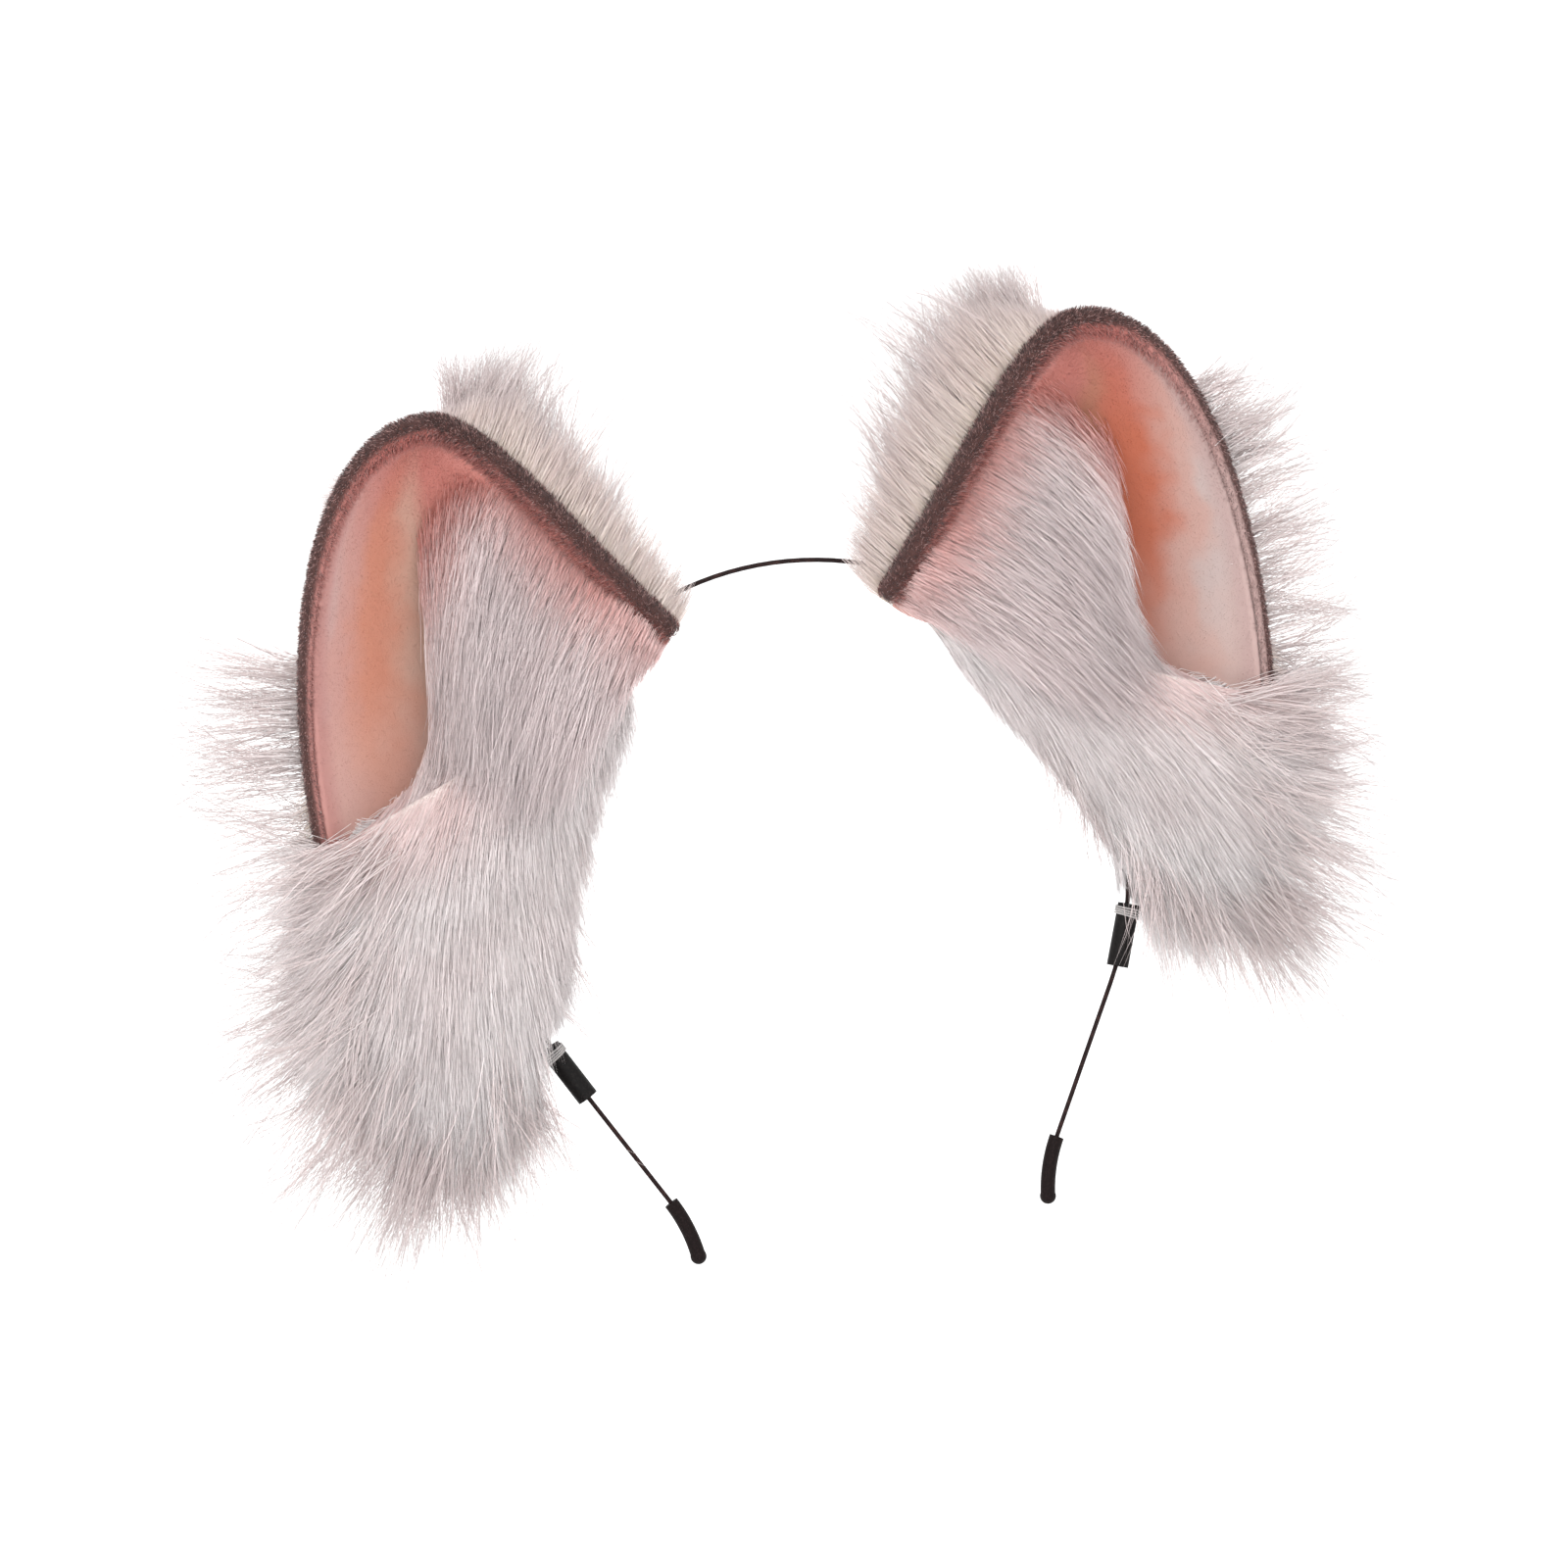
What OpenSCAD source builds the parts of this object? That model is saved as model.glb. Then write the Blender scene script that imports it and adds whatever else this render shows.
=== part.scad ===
// Animal ears headband: two cupped faux-fur ears that slide along a thin sprung wire hoop.
// Millimetres. The hoop lies in the plane y = 0 with its round part centred on the origin and
// +Z points to the crown. Left and right are as seen from the front, where the ears open
// toward -Y. The right ear (+X) is drawn and the left one is its mirror.

/* [Band] */
// Radius of the round part of the hoop, to the middle of the wire
band_r = 68; // [66:0.5:70]
// Diameter of the spring wire
wire_d = 1; // [0.8:0.1:1.2]
// Angle from the crown to the end of the round part, each side
arc_end = 119; // [117:1:121]
// Length of each straight leg below the round part
leg_len = 35; // [30:1:45]

/* [Rubber tips] */
// Diameter of a dipped tip along its length
tip_d = 3.2; // [2.8:0.1:3.6]
// Diameter of the bead at the end of a tip
tip_bead_d = 3.5; // [3.2:0.1:4]
// Length of a tip, to the middle of its bead
tip_len = 13; // [10:1:16]
// Angle through which a tip turns outward
tip_turn = 22; // [15:1:26]

/* [Guide sleeves] */
// Outer diameter of a sleeve
sleeve_d = 4.7; // [4.2:0.1:5]
// Bore of a sleeve, loose on the wire
sleeve_bore = 2.9; // [2.6:0.1:3]
// Length of a sleeve
sleeve_len = 13.6; // [11:0.2:14]
// Angle from the crown to the middle of the right sleeve
right_sleeve_at = 110; // [109:0.5:111]
// Angle from the crown to the middle of the left sleeve
left_sleeve_at = 118.5; // [118:0.5:119]

/* [Ears] */
// Depth of the ear's cup behind its rim
cup_depth = 26; // [22:1:28]
// Depth of long pile on the back of an ear
pile_depth = 12; // [8:1:13]
// Radius of the rolled rim along the inner edge
rim_r = 2.5; // [2.2:0.1:2.6]
// Radius of the rolled rim where it ends at the outer corner
rim_end_r = 1.2; // [1.1:0.1:1.4]
// Fullness of the white tuft in front of the lining
tuft_depth = 11; // [7:1:12]

/* [Hidden] */
$fn = 32;

wire_r = wire_d / 2;
slip = 0.06;        // running clearance of the casing on the wire, and of the threads
gap = 0.3;          // clearance between layers of one ear
casing_r = 1.5;
felt_r = 2.7;
stitch_r = 0.22;
keep_out = 3.5;     // radius kept clear around the wire for casing, felt and stitches

// Angles from the crown at which each ear's casing starts and ends.
casing_start = 21;
right_casing_end = 95;
left_casing_end = 106;
felt_start = 30;
felt_short = 3;     // the felt ends this much before the casing

// Layers of the ear, as distances from the middle of the core, inward negative.
core_t = 1.4;
lining_t = 1.1;
rim_clear = 2.9;    // distance from the rim's middle to the layers' edges

// Edges of an ear from its base corner to its tip, as cubic curves.
inner_edge = [[23, -7, 56], [43, -17, 79], [60, -24, 108.3], [71, -24, 108.3]];
outer_edge = [[104, 2, 20.7], [107.5, -6, 62], [96, -22, 108.3], [71, -24, 108.3]];
// Directions in which those edges draw in to leave room for the rim.
inner_draw = [[0.78, 0, -0.62], [0.78, 0, -0.62], [0.3, 0, -1], [0, 0, -1]];
outer_draw = [[-1, 0, 0], [-1, 0, 0], [-0.7, 0, -0.7], [0, 0, -1]];

// Rows of a cuff from the ear's base down: inner side x, z, outer side x, z, half depth.
right_cuff_rows = [
    [27, 51.2, 102, 17.8, 12],
    [36, 41, 113, 10, 17],
    [46, 26, 118, 1, 19],
    [56, 12.5, 119, -9, 19],
    [64.5, -1, 116, -19, 17],
    [69, -14, 110, -28, 14],
    [73, -27, 103, -36, 10],
    [80, -38, 94, -43, 5]
];
left_cuff_rows = [
    [27, 51.2, 102, 17.8, 12],
    [35, 40, 115, 5, 17],
    [44, 26, 124, -7, 20],
    [49, 9, 126, -19, 20],
    [53, -8, 122, -32, 19],
    [58, -25, 115, -44, 16],
    [68, -40, 107, -53, 11],
    [80, -51, 97, -59, 5]
];
cuff_back = 2;      // distance from the wire's plane to the middle of the cuff, toward the back

// ---- curves and surfaces ---------------------------------------------------------------

function unit(v) = v / norm(v);

function cubic(p, t) =
    pow(1 - t, 3) * p[0] + 3 * pow(1 - t, 2) * t * p[1]
    + 3 * (1 - t) * t * t * p[2] + pow(t, 3) * p[3];

function drawn_in(edge, draw, by) = [for (i = [0:3]) edge[i] + by * draw[i]];

// Middle of the ear's shell: u runs from base to tip, w from the inner edge to the outer.
function shell_point(u, w) =
    let (
        a = cubic(drawn_in(inner_edge, inner_draw, rim_clear), u),
        b = cubic(drawn_in(outer_edge, outer_draw, rim_clear), u),
        across = 0.65 * w + 0.35 * (1 - cos(180 * w)) / 2,
        depth = cup_depth * pow(1 - u * u, 0.7) * sin(180 * pow(w, 0.8))
    )
    a + across * (b - a) + [0, depth, 0];

// Outward normal of the shell, away from the cup.
function shell_normal(u, w) =
    let (
        e = 0.01,
        du = shell_point(min(u + e, 1), w) - shell_point(max(u - e, 0), w),
        dw = shell_point(u, min(w + e, 1)) - shell_point(u, max(w - e, 0))
    )
    unit(cross(du, dw));

// Closed solid between two grids of points, grid[row][column], with matching sizes.
module slab(front, back) {
    rows = len(front);
    cols = len(front[0]);
    half = rows * cols;
    function at(r, c) = r * cols + c;
    function pair(a, b, c, d) = [[a, b, c], [a, c, d]];
    points = [for (grid = [front, back]) for (row = grid) each row];
    skins = [for (r = [0:rows - 2]) for (c = [0:cols - 2]) each concat(
        pair(at(r, c), at(r + 1, c), at(r + 1, c + 1), at(r, c + 1)),
        pair(half + at(r, c), half + at(r, c + 1), half + at(r + 1, c + 1), half + at(r + 1, c))
    )];
    sides = [for (r = [0:rows - 2]) each concat(
        pair(at(r, 0), half + at(r, 0), half + at(r + 1, 0), at(r + 1, 0)),
        pair(at(r + 1, cols - 1), half + at(r + 1, cols - 1), half + at(r, cols - 1), at(r, cols - 1))
    )];
    ends = [for (c = [0:cols - 2]) each concat(
        pair(at(0, c + 1), half + at(0, c + 1), half + at(0, c), at(0, c)),
        pair(at(rows - 1, c), half + at(rows - 1, c), half + at(rows - 1, c + 1), at(rows - 1, c + 1))
    )];
    polyhedron(points, concat(skins, sides, ends), convexity = 6);
}

// Closed solid swept through rings of points; with inner rings it is a tube, open at both ends.
module swept(rings, inner = []) {
    n = len(rings[0]);
    last = len(rings) - 1;
    half = n * len(rings);
    function skin(base, flip) = [for (r = [0:last - 1]) for (i = [0:n - 1])
        let (
            j = (i + 1) % n,
            a = base + r * n + i, b = base + r * n + j,
            c = base + (r + 1) * n + j, d = base + (r + 1) * n + i
        )
        each flip ? [[a, c, b], [a, d, c]] : [[a, b, c], [a, c, d]]];
    function cap(r, flip) = [for (i = [1:n - 2])
        flip ? [r * n, r * n + i, r * n + i + 1] : [r * n, r * n + i + 1, r * n + i]];
    function collar(r, flip) = [for (i = [0:n - 1])
        let (
            j = (i + 1) % n,
            a = r * n + i, b = r * n + j, c = half + r * n + j, d = half + r * n + i
        )
        each flip ? [[a, b, c], [a, c, d]] : [[a, c, b], [a, d, c]]];
    points = [for (set = [rings, inner]) for (ring = set) each ring];
    if (len(inner) == 0)
        polyhedron(points, concat(skin(0, false), cap(0, false), cap(last, true)), convexity = 6);
    else
        polyhedron(
            points,
            concat(skin(0, false), skin(half, true), collar(0, false), collar(last, true)),
            convexity = 6
        );
}

// ---- hoop parts ------------------------------------------------------------------------

// Round bar of radius r bent along the hoop between two angles from the crown.
module hoop_bar(from, to, r) {
    rotate([90, 0, 0])
        rotate([0, 0, 90 - to])
            rotate_extrude(angle = to - from, $fn = 96)
                translate([band_r, 0])
                    circle(r, $fn = 24);
}

// Puts its children on the hoop at an angle from the crown, with -Z along the wire
// toward the leg's end and +X pointing away from the hoop's middle.
module on_hoop(at) {
    translate([band_r * sin(at), 0, band_r * cos(at)])
        rotate([0, at - 90, 0])
            children();
}

// Round bar of radius r that follows the wire inside a tip, from its mouth.
module tip_bar(from, length, r) {
    turn_r = tip_len / (tip_turn * PI / 180);
    on_hoop(arc_end)
        translate([turn_r, 0, -leg_len])
            rotate([90, 0, 0])
                rotate([0, 0, 180 + from * 180 / PI / turn_r])
                    rotate_extrude(angle = length * 180 / PI / turn_r, $fn = 96)
                        translate([turn_r, 0])
                            circle(r, $fn = 24);
}

module band_wire() {
    wire_in_tip = tip_len - 1.5;
    color([0.16, 0.10, 0.10]) {
        hoop_bar(-arc_end, arc_end, wire_r);
        for (side = [0, 1]) mirror([side, 0, 0]) {
            on_hoop(arc_end)
                translate([0, 0, -leg_len])
                    cylinder(h = leg_len, r = wire_r, $fn = 24);
            tip_bar(0, wire_in_tip, wire_r);
        }
    }
}

module tip() {
    turn_r = tip_len / (tip_turn * PI / 180);
    color([0.10, 0.05, 0.05])
        difference() {
            union() {
                tip_bar(0, tip_len, tip_d / 2);
                on_hoop(arc_end)
                    translate([turn_r * (1 - cos(tip_turn)), 0, -leg_len - turn_r * sin(tip_turn)])
                        sphere(tip_bead_d / 2, $fn = 32);
            }
            tip_bar(-0.5, tip_len - 0.7, wire_r + 0.02);
        }
}

module right_tip() tip();
module left_tip() mirror([1, 0, 0]) tip();

// ---- pieces that hold an ear on the wire -------------------------------------------------

module wire_casing(end) {
    color([0.93, 0.91, 0.90])
        difference() {
            hoop_bar(casing_start, end, casing_r);
            hoop_bar(casing_start - 1, end + 1, wire_r + slip);
        }
}

module base_felt(end) {
    color([0.88, 0.84, 0.82])
        difference() {
            hoop_bar(felt_start, end - felt_short, felt_r);
            hoop_bar(felt_start - 1, end, casing_r + 0.02);
        }
}

// Loops of thread that bind the felt and casing, one solid each.
module base_stitches(end) {
    loops = 8;
    color([0.95, 0.94, 0.92])
        for (i = [0:loops - 1])
            on_hoop(felt_start + 3 + (end - felt_short - felt_start - 6) * i / (loops - 1))
                rotate_extrude($fn = 32)
                    translate([felt_r + stitch_r + slip, 0])
                        circle(stitch_r, $fn = 16);
}

module guide_sleeve(at) {
    color([0.10, 0.09, 0.09])
        on_hoop(at)
            difference() {
                cylinder(h = sleeve_len, d = sleeve_d, center = true);
                cylinder(h = sleeve_len + 2, d = sleeve_bore, center = true);
            }
}

// Turns of sewing thread round the top of a sleeve, one solid each.
module sleeve_thread(at) {
    turns = 3;
    color([0.72, 0.70, 0.70])
        on_hoop(at)
            for (i = [0:turns - 1])
                translate([0, 0, sleeve_len / 2 - 0.6 - 0.7 * i])
                    rotate_extrude($fn = 32)
                        translate([sleeve_d / 2 + stitch_r + slip, 0])
                            circle(stitch_r, $fn = 16);
}

// ---- layers of an ear --------------------------------------------------------------------

// Layer of the shell between two distances from the core's middle, with pile from 0 to 1
// added to the higher one. It stays clear of the wire and of the rim.
module layer(low, high, rows, cols, clearance, pile = 0) {
    top = 0.97;
    function row_u(r) = top * (1 - pow(1 - r / rows, 1.3));
    function grid(d, pile) = [for (r = [0:rows]) [for (c = [0:cols])
        let (u = row_u(r), w = c / cols)
        shell_point(u, w) + (d + pile * pile_at(u, w)) * shell_normal(u, w)]];
    difference() {
        slab(grid(low, 0), grid(high, pile));
        hoop_bar(5, 75, clearance);
        swept([for (t = rim_steps()) rim_ring(t, rim_radius(t) + gap, 8)]);
    }
}

// Depth of the long pile: fullest in the middle of the back, short at the tip and along the
// upper half of the outer edge.
function pile_at(u, w) =
    let (
        crest = 0.9 + 0.55 * sin(180 * pow(u, 0.8)),
        thin = 1 - 0.7 * pow(w, 3) * min(1, u / 0.4)
    )
    1.5 + pile_depth * crest * thin * pow(1 - pow(u, 4), 0.8);

module core() color([0.90, 0.88, 0.86])
    layer(-core_t / 2, core_t / 2, 12, 14, felt_r + gap);

module lining() color([0.84, 0.60, 0.54])
    layer(-core_t / 2 - gap - lining_t, -core_t / 2 - gap, 12, 14, keep_out);

module outer_fur() color([0.93, 0.90, 0.89])
    layer(core_t / 2 + gap, core_t / 2 + gap, 12, 14, felt_r + gap, 1);

// Ring of n points of radius r round a point of the rim's path.
function rim_ring(t, r, n) =
    let (
        e = 0.004,
        along = unit(rim_point(t + e) - rim_point(t - e)),
        side = unit(cross(along, [0, 1, 0])),
        up = cross(side, along)
    )
    [for (i = [0:n - 1]) rim_point(t) + r * (cos(360 * i / n) * side + sin(360 * i / n) * up)];

// The rim's path: t from 0 at the inner corner through 1 at the tip to 2 at the outer corner.
function rim_point(t) = t < 1 ? cubic(inner_edge, t) : cubic(outer_edge, 2 - t);

function rim_radius(t) = t < 1.1 ? rim_r : rim_r + (rim_end_r - rim_r) * pow((t - 1.1) / 0.9, 0.6);

rim_rings = 30;
function rim_steps() = [for (i = [0:rim_rings]) 0.01 + 1.98 * i / rim_rings];

module rim() {
    bore = 0.75;
    color([0.33, 0.24, 0.23])
        swept(
            [for (t = rim_steps()) rim_ring(t, rim_radius(t), 8)],
            [for (t = rim_steps()) rim_ring(t, bore, 8)]
        );
}

module rim_wire() {
    color([0.75, 0.75, 0.76])
        swept([for (t = rim_steps()) rim_ring(t, 0.45, 6)]);
}

// Long white pile that fills the fold of the ear in front of the lining.
module inner_tuft() {
    rows = 9;
    cols = 8;
    behind = core_t / 2 + gap + lining_t + gap;
    function back_point(r, c) =
        let (u = 0.01 + 0.70 * r / rows, w = 0.15 + 0.38 * c / cols)
        shell_point(u, w) - behind * shell_normal(u, w);
    function fullness(r, c) =
        1.2 + tuft_depth * pow(sin(180 * c / cols), 0.7) * pow(1 - r / rows, 0.5);
    back = [for (r = [0:rows]) [for (c = [0:cols]) back_point(r, c)]];
    front = [for (r = [0:rows]) [for (c = [0:cols]) back[r][c] - [0, fullness(r, c), 0]]];
    color([0.92, 0.89, 0.88])
        difference() {
            slab(front, back);
            hoop_bar(5, 75, keep_out);
        }
}

// Long pile folded round the wire below the ear and hanging from it.
module cuff_fur(rows) {
    sides = 16;
    color([0.92, 0.87, 0.87])
        difference() {
            swept([for (row = rows)
                let (
                    inner = [row[0], cuff_back, row[1]],
                    outer = [row[2], cuff_back, row[3]],
                    middle = (inner + outer) / 2,
                    half = (outer - inner) / 2
                )
                [for (i = [0:sides - 1])
                    middle + cos(360 * i / sides) * half + [0, row[4] * sin(360 * i / sides), 0]]]);
            hoop_bar(25, 128, keep_out);
        }
}

module right_outer_fur() outer_fur();
module right_core() core();
module right_lining() lining();
module right_rim() rim();
module right_rim_wire() rim_wire();
module right_inner_tuft() inner_tuft();
module right_cuff_fur() cuff_fur(right_cuff_rows);
module right_wire_casing() wire_casing(right_casing_end);
module right_base_felt() base_felt(right_casing_end);
module right_base_stitches() base_stitches(right_casing_end);
module right_guide_sleeve() guide_sleeve(right_sleeve_at);
module right_sleeve_thread() sleeve_thread(right_sleeve_at);

module left_outer_fur() mirror([1, 0, 0]) outer_fur();
module left_core() mirror([1, 0, 0]) core();
module left_lining() mirror([1, 0, 0]) lining();
module left_rim() mirror([1, 0, 0]) rim();
module left_rim_wire() mirror([1, 0, 0]) rim_wire();
module left_inner_tuft() mirror([1, 0, 0]) inner_tuft();
module left_cuff_fur() mirror([1, 0, 0]) cuff_fur(left_cuff_rows);
module left_wire_casing() mirror([1, 0, 0]) wire_casing(left_casing_end);
module left_base_felt() mirror([1, 0, 0]) base_felt(left_casing_end);
module left_base_stitches() mirror([1, 0, 0]) base_stitches(left_casing_end);
module left_guide_sleeve() mirror([1, 0, 0]) guide_sleeve(left_sleeve_at);
module left_sleeve_thread() mirror([1, 0, 0]) sleeve_thread(left_sleeve_at);

band_wire();
left_tip();
right_tip();
left_outer_fur();
left_core();
left_lining();
left_rim();
left_rim_wire();
left_inner_tuft();
left_cuff_fur();
left_wire_casing();
left_base_felt();
left_base_stitches();
left_guide_sleeve();
left_sleeve_thread();
right_outer_fur();
right_core();
right_lining();
right_rim();
right_rim_wire();
right_inner_tuft();
right_cuff_fur();
right_wire_casing();
right_base_felt();
right_base_stitches();
right_guide_sleeve();
right_sleeve_thread();
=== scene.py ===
"""Looks of the animal ears headband: long pile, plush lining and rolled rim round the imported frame.

Lengths are millimetres in the part's frame until a mesh is made. Each ear is worked out as the
right one (+X), and the left one is mirrored.
"""
import math
from dataclasses import dataclass

import bpy
import numpy as np
from mathutils import Matrix, Vector


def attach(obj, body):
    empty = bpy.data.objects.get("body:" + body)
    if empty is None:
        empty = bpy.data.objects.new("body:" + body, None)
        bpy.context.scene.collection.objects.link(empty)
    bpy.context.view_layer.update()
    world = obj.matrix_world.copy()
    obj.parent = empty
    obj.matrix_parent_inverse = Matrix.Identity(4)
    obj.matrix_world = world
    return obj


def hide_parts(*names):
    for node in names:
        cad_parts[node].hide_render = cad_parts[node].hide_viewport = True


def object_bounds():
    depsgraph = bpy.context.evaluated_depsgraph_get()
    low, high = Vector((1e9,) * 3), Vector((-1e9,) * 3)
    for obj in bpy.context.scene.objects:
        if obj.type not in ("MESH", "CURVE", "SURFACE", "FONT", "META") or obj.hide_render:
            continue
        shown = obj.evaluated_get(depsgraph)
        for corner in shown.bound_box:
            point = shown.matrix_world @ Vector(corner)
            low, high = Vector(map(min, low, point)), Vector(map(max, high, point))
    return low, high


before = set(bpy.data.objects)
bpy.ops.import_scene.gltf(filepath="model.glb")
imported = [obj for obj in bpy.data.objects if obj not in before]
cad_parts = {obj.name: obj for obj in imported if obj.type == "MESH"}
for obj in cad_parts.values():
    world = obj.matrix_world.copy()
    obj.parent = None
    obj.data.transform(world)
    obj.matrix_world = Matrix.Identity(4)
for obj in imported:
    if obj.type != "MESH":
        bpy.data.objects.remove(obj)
cad_low, cad_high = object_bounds()

MM = 0.001
rng = np.random.default_rng(20)

# ---- the ear's design, as in the CAD source ----

BAND_R = 68
CUP_DEPTH = 26
RIM_R = 2.5
RIM_END_R = 1.2
RIM_CLEAR = 2.9
CUFF_BACK = 2
CORE_T = 1.4
LINING_T = 1.1
GAP = 0.3
SLEEVE_D = 4.7
SLEEVE_LEN = 13.6
ARC_END = 119

INNER_EDGE = np.array([[23, -7, 56], [43, -17, 79], [60, -24, 108.3], [71, -24, 108.3]], float)
OUTER_EDGE = np.array([[104, 2, 20.7], [107.5, -6, 62], [96, -22, 108.3], [71, -24, 108.3]], float)
INNER_DRAW = np.array([[0.78, 0, -0.62], [0.78, 0, -0.62], [0.3, 0, -1], [0, 0, -1]])
OUTER_DRAW = np.array([[-1, 0, 0], [-1, 0, 0], [-0.7, 0, -0.7], [0, 0, -1]])


@dataclass
class Ear:
    """What differs between the two ears. Colours are sRGB values from 0 to 255."""

    name: str
    # 1 for the ear on the +X side, -1 for the mirrored one.
    side: int
    # Place of the guide sleeve's middle on the hoop, in degrees from the crown.
    sleeve_at: float
    # Cuff backing, rows from the ear's base down: inner x, z, outer x, z, half depth.
    pelt: np.ndarray
    # Lie of the cuff's pile, in degrees outward from straight down, at the places COMB_AT
    # across the cuff, at its top and at its bottom.
    comb: tuple
    # Lie of the tuft's pile beside the rim, half way and beside the fold.
    tuft_comb: tuple
    # Length of the pile that stands past the inner edge, as a share of its usual length.
    crest: float
    # How far round toward the cup the rim stays brown, along the outer edge.
    line: float
    # How far up the outer edge loose locks grow, and how many.
    wisps: tuple
    # The lining's colours in order across the ear: beside the tuft, in the fold, outside it,
    # the pale band, and beside the rim.
    colours: list
    # Places across the lining between which the fold's colour is at its fullest.
    fold: tuple
    # How far outward the lining's colours move at its base and near its tip.
    lean: tuple
    # How much further out the tuft ends in the upper half of the ear.
    fold_shift: float


EARS = [
    Ear(
        name="right",
        side=1,
        sleeve_at=110,
        pelt=np.array([
            [33, 50, 101, 23, 5],
            [45, 34, 101, 8, 11],
            [56, 20, 98, 0, 12],
            [63, 7, 92, -7, 11],
            [67, -5, 85, -14, 7],
        ], float),
        comb=([40, 30, 22, 45, 98], [18, 16, 18, 26, 40]),
        tuft_comb=(54, 34, 14),
        crest=1.05,
        line=0.05,
        wisps=(0.6, 130),
        colours=[(186, 130, 106), (194, 112, 86), (198, 160, 150), (194, 176, 172), (180, 152, 148)],
        fold=(0.62, 0.7),
        lean=(0.0, 0.08),
        fold_shift=7,
    ),
    Ear(
        name="left",
        side=-1,
        sleeve_at=118.5,
        pelt=np.array([
            [33, 50, 101, 23, 5],
            [45, 34, 104, 5, 11],
            [53, 17, 106, -11, 12],
            [58, 1, 103, -22, 12],
            [64, -15, 95, -32, 11],
            [73, -29, 87, -39, 6],
        ], float),
        comb=([8, 14, 16, 36, 95], [-5, 0, 5, 14, 28]),
        tuft_comb=(40, 22, 4),
        crest=0.86,
        line=0.3,
        wisps=(0.34, 60),
        colours=[(204, 166, 149), (203, 138, 115), (198, 150, 141), (195, 158, 153), (178, 124, 118)],
        fold=(0.66, 0.7),
        lean=(0.1, 0.0),
        fold_shift=0,
    ),
]

# ---- curves and surfaces ----


def unit(v):
    return v / np.maximum(np.linalg.norm(v, axis=-1, keepdims=True), 1e-9)


def cubic(p, t):
    t = np.asarray(t, float)[..., None]
    return (1 - t) ** 3 * p[0] + 3 * (1 - t) ** 2 * t * p[1] + 3 * (1 - t) * t * t * p[2] + t**3 * p[3]


def lateral(w):
    """Share of the way across the ear at w."""
    return 0.65 * w + 0.35 * (1 - np.cos(np.pi * w)) / 2


def cup(u, w):
    """Depth of the shell behind the plane of its rim."""
    return CUP_DEPTH * np.maximum(1 - u * u, 0) ** 0.7 * np.sin(np.pi * w**0.8)


def shell_point(u, w, inner_clear=RIM_CLEAR, outer_clear=RIM_CLEAR):
    """Middle of the ear's shell: u from base to tip, w from the inner edge to the outer."""
    a = cubic(INNER_EDGE + inner_clear * INNER_DRAW, u)
    b = cubic(OUTER_EDGE + outer_clear * OUTER_DRAW, u)
    p = a + lateral(w)[..., None] * (b - a)
    p[..., 1] += cup(u, w)
    return p


def shell_normal(u, w):
    """Outward from the cup."""
    e = 0.01
    low_w = np.clip(w, e, 1 - e)
    low_u = np.clip(u, e, 0.99 - e)
    du = shell_point(low_u + e, low_w) - shell_point(low_u - e, low_w)
    dw = shell_point(low_u, low_w + e) - shell_point(low_u, low_w - e)
    return unit(np.cross(du, dw))


def rim_point(t):
    """The rim's path: t from 0 at the inner corner through 1 at the tip to 2 at the outer one."""
    t = np.asarray(t, float)
    return np.where(
        (t < 1)[..., None],
        cubic(INNER_EDGE, np.clip(t, 0, 1)),
        cubic(OUTER_EDGE, np.clip(2 - t, 0, 1)),
    )


def rim_radius(t):
    late = np.clip((t - 1.1) / 0.9, 0, 1)
    return RIM_R + (RIM_END_R - RIM_R) * late**0.6


def rim_frame(t):
    """Unit vectors along the rim, out of the ear's opening plane, and away from the cup."""
    e = 0.004
    along = unit(rim_point(t + e) - rim_point(t - e))
    front = np.zeros_like(along)
    front[..., 1] = -1
    away = unit(np.cross(front, along))
    front = np.cross(along, away)
    return along, front, away


def in_rows(rows, s):
    """Row values at s from 0 to 1, smooth through the rows."""
    n = len(rows) - 1
    x = np.clip(s, 0, 1) * n
    i = np.minimum(x.astype(int), n - 1)
    t = (x - i)[:, None]
    p0, p1 = rows[np.maximum(i - 1, 0)], rows[i]
    p2, p3 = rows[i + 1], rows[np.minimum(i + 2, n)]
    return 0.5 * (
        2 * p1 + (p2 - p0) * t + (2 * p0 - 5 * p1 + 4 * p2 - p3) * t**2
        + (3 * p1 - p0 - 3 * p2 + p3) * t**3
    )


def cuff_point(rows, s, phi):
    """Cuff backing: s from top to bottom, phi from 0 at the outer side through the back."""
    r = in_rows(rows, s)
    mid_x, mid_z = (r[:, 0] + r[:, 2]) / 2, (r[:, 1] + r[:, 3]) / 2
    half_x, half_z = (r[:, 2] - r[:, 0]) / 2, (r[:, 3] - r[:, 1]) / 2
    c = np.cos(phi)
    return np.stack([mid_x + c * half_x, CUFF_BACK + r[:, 4] * np.sin(phi), mid_z + c * half_z], 1)


def cuff_normal(rows, s, phi):
    e = 0.02
    s = np.clip(s, e, 1 - e)
    ds = cuff_point(rows, s + e, phi) - cuff_point(rows, s - e, phi)
    dphi = cuff_point(rows, s, phi + e) - cuff_point(rows, s, phi - e)
    return unit(np.cross(ds, dphi))


# ---- meshes ----


def placed(name, data):
    """New object in the scene."""
    thing = bpy.data.objects.new(name, data)
    bpy.context.collection.objects.link(thing)
    return thing


NO_TRIS = np.zeros((0, 3), int)


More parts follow.
